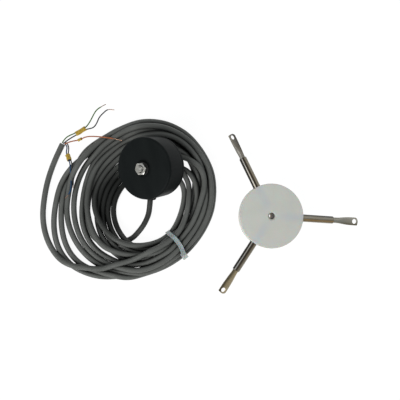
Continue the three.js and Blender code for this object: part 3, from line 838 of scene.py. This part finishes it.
def housing():
    """The round pot: its rim is rounded, and a fine groove runs round the face and round the foot."""
    roof = HEAD_H - HEAD_WALL
    inner = HEAD_R - HEAD_WALL
    shell = turned("housing", [
        (inner, 0), (HEAD_R - 0.35, 0), (HEAD_R, 0.35), (HEAD_R, 3.0), (HEAD_R - 0.25, 3.15),
        (HEAD_R - 0.25, 3.45), (HEAD_R, 3.6),
        *arc(HEAD_R - HEAD_EDGE, HEAD_H - HEAD_EDGE, HEAD_EDGE, 0, 90),
        (8.6, HEAD_H), (8.2, HEAD_H - 0.3), (4.8, HEAD_H - 0.3), (4.8, roof), (8.2, roof),
        (8.2, 11.6), (11, 11.6), (11, roof), (inner, roof),
    ], "black_plastic", HEAD, 160)
    hole = turned("hole", disc_profile(5.2, 24, 34), place=HEAD @ pointing(CABLE_SIDE, CABLE_HEIGHT))
    cut(shell, hole)
    finished(rounded_edges(shell, 0.12, 2), "sensor", "black_plastic", "housing_shell")


def rear_cover():
    """The cover set into the back, with a raised rim, a shallow dish and three countersinks."""
    edge = HEAD_R - HEAD_WALL - 0.3
    cover = turned("cover", [
        (0, 0.5), (18, 0.5), (19.2, 0), (edge, 0), (edge, 0.8), (26.3, 0.8), (26.3, 2), (edge, 2),
        (edge, 2.6), (0, 2.6),
    ], "black_plastic", HEAD, 128)
    sinks = [
        turned(
            "sink", [(0, -1), (4.1, -1), (1.5, 1.6), (1.5, 4), (0, 4)],
            place=HEAD @ on_circle(COVER_SCREW_R, degrees),
        )
        for degrees in COVER_SCREWS
    ]
    cut(cover, *sinks)
    finished(rounded_edges(cover, 0.15, 2), "sensor", "black_plastic", "rear_cover")


def cover_screws():
    for i, degrees in enumerate(COVER_SCREWS):
        screw = turned(f"screw_{i + 1}", [(0, 0.1), (2.8, 0.1), (1, 1.7), (1, 10), (0, 10)], "steel",
                       HEAD @ on_circle(COVER_SCREW_R, degrees), 48)
        turn = Matrix.Rotation(0.6 + i, 4, "Z")
        slot = box_piece("slot", (8, 0.7, 1.2), HEAD @ on_circle(COVER_SCREW_R, degrees) @ turn)
        cut(screw, slot)
        finished(rounded_edges(screw, 0.1, 2), "sensor", "steel", f"cover_screw_{i + 1}")


def box_piece(name, size, place, look=None):
    """A box about its own middle, mm."""
    x, y, z = (side / 2 for side in size)
    points = [(sx * x, sy * y, sz * z) for sz in (-1, 1) for sx, sy in ((-1, -1), (1, -1), (1, 1), (-1, 1))]
    faces = [(3, 2, 1, 0), (4, 5, 6, 7), (0, 1, 5, 4), (1, 2, 6, 5), (2, 3, 7, 6), (3, 0, 4, 7)]
    return mesh_object(name, points, faces, look, place)


def cable_entry():
    """The rubber grommet: a flange outside the wall and three ribs that taper to the cable."""
    bore = CABLE_R + 0.1
    ribs = []
    for i in range(3):
        low = 31.3 + 0.65 * i
        radius = 6.2 - 0.3 * i
        ribs += [(radius, low), (radius - 0.1, low + 0.4), (radius - 0.8, low + 0.5)]
    grommet = turned("grommet",
                     [(bore, 25.4), (6, 25.4), (6, 27), (4.9, 27), (4.9, 31.3), *ribs, (bore, 33.2)],
                     "rubber", HEAD @ pointing(CABLE_SIDE, CABLE_HEIGHT), 64)
    return finished(rounded_edges(grommet, 0.12, 2), "sensor", "rubber", "cable_grommet")


def threaded(name, radius, low, high, depth, look, place, sides=48):
    """A threaded rod: its surface follows a helix, and its top end is a chamfered plain stretch."""
    plain = high - 1.3
    rows = int((plain - low) / THREAD_PITCH * 12)
    sections = []
    for i in range(rows + 1):
        z = low + (plain - low) * i / rows
        section = []
        for k in range(sides):
            phase = (z / THREAD_PITCH - k / sides) % 1
            r = radius - depth * abs(2 * phase - 1) ** 0.8
            angle = 2 * math.pi * k / sides
            section.append((r * math.cos(angle), r * math.sin(angle), z))
        sections.append(section)
    for r, z in ((radius - 0.35, plain + 0.1), (radius - 0.35, high - 0.45), (radius - 0.8, high)):
        angles = [2 * math.pi * k / sides for k in range(sides)]
        sections.append([(r * math.cos(a), r * math.sin(a), z) for a in angles])
    return lofted(name, sections, look, place)


def spindle():
    """The shaft up to its shoulder, with the stud above it."""
    shaft = turned("spindle_shaft", [
        (0, 7.9), (3, 7.9), (3, 10.3), (4, 10.3), (4, 10.6), (3.3, 10.6), (3.3, 11.5), (4, 11.5),
        (4, SHOULDER), (0, SHOULDER),
    ], "steel", HEAD, 64)
    finished(rounded_edges(shaft, 0.15, 2), "spindle_assembly", "steel", "spindle")
    stud = threaded("stud", STUD_R, SHOULDER, STUD_TOP, 0.45, "steel", HEAD)
    rounded_edges(stud, 0.06, 2, 35)
    finished(stud, "spindle_assembly", "steel")
    slinger = [(4.3, 28.1), (6.5, 28.1), (6.5, 28.7), (5.6, 29.5), (4.3, 29.5)]
    seal = turned("seal", slinger, "rubber", HEAD, 64)
    finished(rounded_edges(seal, 0.12, 2), "spindle_assembly", "rubber", "shaft_seal")


def nut():
    """A thin hexagon nut, chamfered above and below, its bore countersunk."""
    corner = NUT_FLATS / 2 / math.cos(math.pi / 6)
    top = NUT_LOW + NUT_H
    turn = HEAD @ Matrix.Rotation(math.radians(NUT_TURN), 4, "Z")
    hexagon = turned("nut", disc_profile(corner, NUT_LOW, top), "steel", turn, 6)
    barrel = turned("barrel", [
        (0, NUT_LOW), (NUT_FLATS / 2 - 0.1, NUT_LOW), (corner + 0.2, NUT_LOW + 0.55),
        (corner + 0.2, top - 0.55), (NUT_FLATS / 2 - 0.1, top), (0, top),
    ], place=turn)
    cut(hexagon, barrel, operation="INTERSECT")
    bore = turned("bore", [
        (0, NUT_LOW - 1), (4.4, NUT_LOW - 1), (STUD_R + 0.08, NUT_LOW + 0.4),
        (STUD_R + 0.08, top - 0.55), (4.7, top + 1), (0, top + 1),
    ], place=turn)
    cut(hexagon, bore)
    finished(rounded_edges(hexagon, 0.1, 2, 20), "spindle_assembly", "steel", "hex_nut")


# ---------- rotor ----------
def rotor_hub():
    """The disc: rounded edges, a countersunk hole, a boss below and a socket for each arm."""
    sink = 2
    hub = turned("hub", [
        (0, 0), (BOSS_R - 0.6, 0), (BOSS_R, 0.6), (BOSS_R, DISC_BOTTOM - 1.5),
        *arc(BOSS_R + 1.5, DISC_BOTTOM - 1.5, 1.5, 180, 90, 5)[1:],
        *arc(DISC_R - 0.7, DISC_BOTTOM + 0.7, 0.7, -90, 0, 5),
        *arc(DISC_R - 0.9, DISC_TOP - 0.9, 0.9, 0, 90, 6),
        (0, DISC_TOP),
    ], "hub_plastic", ROTOR, 192)
    bore = turned("bore", [
        (0, -1), (6.3, -1), (6.3, 7.6), (HOLE_R, 7.6), (HOLE_R, DISC_TOP - sink),
        (HOLE_R + sink, DISC_TOP), (HOLE_R + sink, DISC_TOP + 1), (0, DISC_TOP + 1),
    ], place=ROTOR, sides=64)
    sockets = [
        turned("socket", disc_profile(TUBE_R + 0.15, TUBE_START - 0.3, DISC_R + 2),
               place=ROTOR @ pointing(degrees, ARM_Z), sides=48)
        for degrees in ARM_ANGLES
    ]
    cut(hub, bore, *sockets)
    finished(rounded_edges(hub, 0.12, 2, 35), "rotor", "hub_plastic", "rotor_hub")


def hub_insert():
    """The brass insert: knurled outside, with a plain bore where its thread is."""
    sides = 72
    sections = []
    for z in np.linspace(0.2, 7.3, 25):
        waist = 0.5 if 3.2 < z < 4.4 else 0.0
        section = []
        for k in range(sides):
            knurl = 0.25 * ((k * 24 // sides) % 2)
            angle = 2 * math.pi * k / sides
            radius = 6 - waist - knurl
            section.append((radius * math.cos(angle), radius * math.sin(angle), z))
        sections.append(section)
    insert = lofted("insert", sections, "brass", ROTOR)
    bore = turned("bore", disc_profile(HOLE_R, -1, 9), place=ROTOR, sides=48)
    cut(insert, bore)
    finished(rounded_edges(insert, 0.08, 1, 50), "rotor", "brass", "hub_insert")


def arm_frame(i):
    """The rotor's frame turned so that local X runs along arm i."""
    angle = Matrix.Rotation(math.radians(ARM_ANGLES[i]), 4, "Z")
    return ROTOR @ Matrix.Translation((0, 0, ARM_Z * MM)) @ angle


def arm_tube(i):
    profile = [
        (TUBE_BORE_R, TUBE_START), (TUBE_R, TUBE_START),
        *arc(TUBE_R - 0.6, TUBE_END - 0.6, 0.6, 0, 90, 4),
        (TUBE_BORE_R, TUBE_END),
    ]
    sides = 64
    sections = []
    for radius, x in profile:
        angles = [2 * math.pi * k / sides for k in range(sides)]
        sections.append([(x, radius * math.cos(a), radius * math.sin(a)) for a in angles])
    tube = lofted(f"tube_{i + 1}", sections, f"tube_{i + 1}", arm_frame(i), closed=True)
    finished(rounded_edges(tube, 0.1, 2), "rotor", "arm_metal", f"arm_tube_{i + 1}")


def ease(value):
    value = min(max(value, 0.0), 1.0)
    return value * value * (3 - 2 * value)


def blade_section(x, sides=64):
    """The rod's outline at x: round, then wide and flat, and narrowed at its far end."""
    flat = ease((x - 72.5) / 15.5)
    half_t = ROD_R + (EYE_T / 2 - ROD_R) * flat
    wide = ROD_R + (EYE_HALF - ROD_R) * ease((x - 73) / 17)
    high, low = wide, -wide
    if x > ROD_END - 3.4:
        share = (x - ROD_END + 3.4) / 3.4
        high = wide - (wide - 0.4) * (1 - math.sqrt(max(0.0, 1 - share**2.2)))
    if x > ROD_END - 0.9:
        share = (x - ROD_END + 0.9) / 0.9
        low = -wide + (wide - 1.2) * share**2
    power = 2 / (2 + 4.5 * flat)
    section = []
    for k in range(sides):
        angle = 2 * math.pi * k / sides
        c, s = math.cos(angle), math.sin(angle)
        y = (high + low) / 2 + (high - low) / 2 * math.copysign(abs(c) ** power, c)
        section.append((x, y, half_t * math.copysign(abs(s) ** power, s)))
    return section


def arm_rod(i):
    """A rod with a flattened end and an oval hole, its edges chamfered; the lip raised by the punch is not built.
    """
    stops = np.concatenate([
        [ROD_START, ROD_START + 0.4, 60, 70],
        np.linspace(72, 90, 25),
        np.linspace(91, 95, 5),
        ROD_END - 3.4 * (1 - np.sin(np.linspace(0.05, math.pi / 2, 14))),
    ])
    roll = Matrix.Rotation(math.radians(ARM_ROLLS[i]), 4, "X")
    place = arm_frame(i) @ roll
    rod = lofted(f"rod_{i + 1}", [blade_section(x) for x in stops], f"rod_{i + 1}", place)
    chamfer = 0.25
    half = EYE_T / 2
    profile = [
        (0, -half - 1), (EYE_HOLE_R + chamfer + 1, -half - 1), (EYE_HOLE_R, -half + chamfer),
        (EYE_HOLE_R, half - chamfer), (EYE_HOLE_R + chamfer + 1, half + 1), (0, half + 1),
    ]
    oval = Matrix.Diagonal((0.93, 1, 1, 1))
    eye = turned("eye", profile, place=place @ Matrix.Translation((EYE_AT * MM, 0, 0)) @ oval, sides=64)
    cut(rod, eye)
    rod.data.shade_smooth()
    rod.data.set_sharp_from_angle(angle=math.radians(40))
    finished(rod, "rotor", "arm_metal", f"arm_rod_{i + 1}")


# ---------- cable ----------
def curve_object(name, lines, radius, look, resolution=5):
    """Round cords along lines of points, mm, in one curve object."""
    data = bpy.data.curves.new(name, "CURVE")
    data.dimensions = "3D"
    data.bevel_depth = radius * MM
    data.bevel_resolution = resolution
    data.use_fill_caps = True
    for line in lines:
        track = data.splines.new("POLY")
        track.points.add(len(line) - 1)
        for point, at in zip(track.points, line):
            point.co = (*(c * MM for c in at), 1)
        track.use_smooth = True
    return new_object(name, data, look)


def hull(points):
    """The convex hull of points in a plane, anticlockwise."""
    def half(points):
        kept = []
        for p in points:
            while len(kept) > 1 and np.cross(kept[-1] - kept[-2], p - kept[-1]) <= 0:
                kept.pop()
            kept.append(p)
        return kept[:-1]

    points = sorted(points, key=tuple)
    return half(points) + half(points[::-1])


def tie_loop(line):
    """The cable tie's middle line in the tie's plane, (across, height) in mm, taut round the turns."""
    offset = line[:, :2] - TIE_POS
    away, across = offset @ ALONG, offset @ ACROSS
    around = []
    for i in np.nonzero((away[:-1] * away[1:] <= 0) & (np.abs(across[:-1]) < TIE_HALF + 4))[0]:
        share = away[i] / (away[i] - away[i + 1])
        x = across[i] + share * (across[i + 1] - across[i])
        z = line[i, 2] + share * (line[i + 1, 2] - line[i, 2])
        reach = CABLE_R + TIE_T / 2 + 0.05
        turn = np.linspace(0, 2 * math.pi, 25)[:-1]
        around += [np.array([x + reach * math.cos(a), z + reach * math.sin(a)]) for a in turn]
    outline = np.array(hull(around))
    outline = np.vstack([outline, outline[:1]])
    flat = np.column_stack([outline, np.zeros(len(outline))])
    return spaced(flat, 0.9)[:-1, :2]


def tie_strap(loop):
    """The strap: a flat band with thick rims, swept round the loop."""
    half_w, half_t = TIE_W / 2, TIE_T / 2
    profile = [
        (-half_w + 0.25, -half_t), (half_w - 0.25, -half_t),
        (half_w, -half_t + 0.25), (half_w, half_t - 0.25),
        (half_w - 0.25, half_t), (half_w - 0.8, half_t), (half_w - 1.0, half_t - 0.25),
        (-half_w + 1.0, half_t - 0.25), (-half_w + 0.8, half_t), (-half_w + 0.25, half_t),
        (-half_w, half_t - 0.25), (-half_w, -half_t + 0.25),
    ]
    ahead = np.roll(loop, -2, axis=0) - np.roll(loop, 2, axis=0)
    sections = []
    for (x, z), step in zip(loop, ahead):
        out = unit(np.array([step[1], -step[0]]))
        section = []
        bow = TIE_BOW * (1 - (x / TIE_HALF) ** 2) * z / TIE_HIGH
        for sideways, outwards in profile:
            at = (x + out[0] * outwards) * ACROSS + (sideways + bow) * ALONG + TIE_POS
            section.append((*at, z + out[1] * outwards))
        sections.append(section)
    strap = lofted("strap", sections, "nylon", closed=True)
    return finished(rounded_edges(strap, 0.08, 2, 35), "sensor", "nylon", "tie_strap")


def tie_head(loop):
    """The tie's head: a rounded box with a slot, and the strap's cut end standing out of it. It sits where
    the strap comes down over the bundle's outer side."""
    outwards = np.roll(loop, -1, axis=0) - np.roll(loop, 1, axis=0)
    slope = np.degrees(np.arctan2(-outwards[:, 0], outwards[:, 1]))
    seat = np.abs(slope - TIE_HEAD_SLOPE).argmin()
    lean = math.radians(TIE_HEAD_SLOPE)
    x = loop[seat, 0] + TIE_HEAD_OUT * math.cos(lean)
    z = loop[seat, 1] + TIE_HEAD_OUT * math.sin(lean)
    bow = TIE_BOW * (1 - (x / TIE_HALF) ** 2) * z / TIE_HIGH
    at = TIE_POS + ACROSS * x + ALONG * bow
    turn = Matrix.Rotation(TIE_ACROSS, 4, "Z") @ Matrix.Rotation(-lean, 4, "Y")
    place = Matrix.Translation((at[0] * MM, at[1] * MM, z * MM)) @ turn
    body = box_piece("tie_lock", (4.6, 6.2, 6.6), place, "nylon_head")
    slot = box_piece("slot", (1.7, TIE_W + 0.3, 9), place @ Matrix.Translation((-0.2 * MM, 0, 0)))
    window = box_piece("window", (1.6, 2.6, 2.4), place @ Matrix.Translation((2.4 * MM, 0, 1.6 * MM)))
    cut(body, slot, window)
    rounded_edges(body, 0.5, 3)
    shift = Matrix.Translation((-0.2 * MM, 0, -0.7 * MM))
    end = box_piece("tie_end", (1.25, TIE_W, 7.6), place @ shift, "nylon_head")
    finished(rounded_edges(end, 0.2, 2), "sensor", "nylon")
    return [finished(body, "sensor", "nylon", "tie_head"), end]


def cable(line):
    fine = spaced(spline(np.vstack([line[:-1:2], line[-1:]]), steps=8), 2.4)
    piece = curve_object("cable", [fine], CABLE_R, "cable_jacket", 6)
    return finished(piece, "sensor", "cable_jacket", "cable_lead", "cable_coil", "cable_tail")


def copper_end(name, path):
    """Seven fine strands, six of them twisted round the middle one."""
    path = spaced(path, 0.35)
    ahead = np.gradient(path, axis=0)
    strands = [path]
    for k in range(6):
        strand = []
        for i, (at, step) in enumerate(zip(path, ahead)):
            step = unit(step)
            side = unit(np.cross(step, (0.1, 0.2, 1.0)))
            angle = 2 * math.pi * k / 6 + 0.45 * i * 0.35
            spread = 0.27 + 0.02 * math.sin(3 * k + i / len(path) * 4)
            strand.append(at + spread * (math.cos(angle) * side + math.sin(angle) * np.cross(step, side)))
        strands.append(np.array(strand))
    piece = curve_object(name, strands, 0.14, "copper", 2)
    return finished(piece, "sensor", name.replace("_copper", "").replace("_black_2", "_black"))


def marker(name, start, end, radius):
    """A sleeve of marker tape: a tube pinched a little flat, with uneven lips and a crease."""
    start, end = np.array(start), np.array(end)
    length = np.linalg.norm(end - start)
    step = unit(end - start)
    side = unit(np.cross(step, (0, 0, 1)))
    up = np.cross(side, step)
    phase = sum(map(ord, name))
    wall = 0.3
    rows, sides = 18, 40
    sections = []
    for inner in (0, 1):
        order = range(rows + 1) if not inner else range(rows, -1, -1)
        for i in order:
            t = i / rows
            section = []
            for k in range(sides):
                angle = 2 * math.pi * k / sides
                crease = 1 + 0.07 * math.sin(3 * angle + 5 * t + phase) - 0.05 * math.cos(9 * t + phase)
                r = (radius - inner * wall) * crease * 0.93
                lip = 0.35 * math.sin(2 * angle + phase) * (2 * t - 1)
                at = start + step * (t * length + lip * (2 * t - 1) ** 2)
                section.append(at + r * (math.cos(angle) * side + 0.82 * math.sin(angle) * up))
            sections.append(section)
    piece = lofted(f"{name}_sleeve", sections, "marker", closed=True)
    return finished(piece, "sensor", "marker", name)


def cores():
    """The five cores of the stripped end, each with its bare copper tip."""
    for name, route in CORE_ROUTES.items():
        whole = spline(route)
        at = along(whole)
        bare = at > at[-1] - BARE_ENDS[name]
        slot = name.replace("_black_2", "_black")
        piece = curve_object(name, [spaced(whole[~bare], 0.8)], CORE_R, slot, 4)
        piece.name = f"{name}_wire"
        finished(piece, "sensor", slot, name)
        tip = copper_end(f"{name}_copper", whole[np.argmax(bare) - 2 :])


# ---------- the CAD nodes that stay ----------
def dress_nodes():
    """Gives every node that still shows the material of its slot, and softens its edges."""
    slots = {part["node"]: part["material_slot"] for part in frame["record"]["subparts"]}
    for name, node in frame["nodes"].items():
        node.data.materials.clear()
        node.data.materials.append(look_of(slots[name]))
        if not node.hide_render:
            rounded_edges(node, 0.08, 1, 35)


# ---------- stage ----------
FLOOR_GAP = 0.0002  # keeps the floor's face off the part's own lowest faces


def floor():
    mesh = bpy.data.meshes.new("floor")
    half = 6  # metres, far past what any view shows of the part
    corners = [(-half, -half, 0), (half, -half, 0), (half, half, 0), (-half, half, 0)]
    mesh.from_pydata(corners, [], [(0, 1, 2, 3)])
    shader = Shader("floor", (0.15, 0.15, 0.15), 0.9)
    shader.set(Specular_IOR_Level=0.0, Emission_Color=(1, 1, 1, 1), Emission_Strength=0.93)
    piece = bpy.data.objects.new("floor", mesh)
    mesh.materials.append(shader.material)
    bpy.context.scene.collection.objects.link(piece)
    piece.location.z = -FLOOR_GAP


def softbox(name, place, target, size, power, color=(1, 1, 1)):
    data = bpy.data.lights.new(name, "AREA")
    data.shape = "DISK"
    data.size = size
    data.energy = power
    data.color = color
    lamp = bpy.data.objects.new(name, data)
    lamp.location = place
    lamp.rotation_euler = (Vector(target) - Vector(place)).to_track_quat("-Z", "Y").to_euler()
    bpy.context.scene.collection.objects.link(lamp)


def light():
    middle = (-0.05, 0.01, 0)
    softbox("key", (-0.75, -0.75, 0.85), middle, 0.8, 10)
    softbox("fill", (0.7, 0.6, 1.1), middle, 1.2, 4)
    world = bpy.data.worlds.new("studio")
    world.use_nodes = True
    world.node_tree.nodes["Background"].inputs["Color"].default_value = (0.9, 0.95, 1, 1)
    world.node_tree.nodes["Background"].inputs["Strength"].default_value = 0.3
    bpy.context.scene.world = world
    bpy.context.scene.view_settings.view_transform = "Standard"


EYE = Vector((-0.0968, -0.00167, 0.4846))  # almost straight above the table
VIEW_AHEAD = Vector((0.10869, 0.03209, -0.99356))
LENS = 39.96
FILM_WIDTH = 36


def camera():
    data = bpy.data.cameras.new("camera")
    data.sensor_width = FILM_WIDTH
    data.lens = LENS
    data.clip_start = 0.01
    ahead = VIEW_AHEAD.normalized()
    right = ahead.cross(Vector((0, 1, 0))).normalized()
    up = right.cross(ahead)
    piece = bpy.data.objects.new("camera", data)
    axes = Matrix((right, up, -ahead)).transposed().to_4x4()
    piece.matrix_world = Matrix.Translation(EYE) @ axes
    bpy.context.scene.collection.objects.link(piece)
    bpy.context.scene.camera = piece


# ---------- everything ----------
camera()
line = cable_line()
cord = cable(line)
loop = tie_loop(line)
grommet = cable_entry()
tie_strap(loop)
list(tie_head(loop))
sleeves = {name: marker(name, **size) for name, size in MARKERS.items()}
cores()
housing()
rear_cover()
cover_screws()
spindle()
nut()
rotor_hub()
hub_insert()
for i in range(3):
    arm_tube(i)
    arm_rod(i)
dress_nodes()
floor()
light()
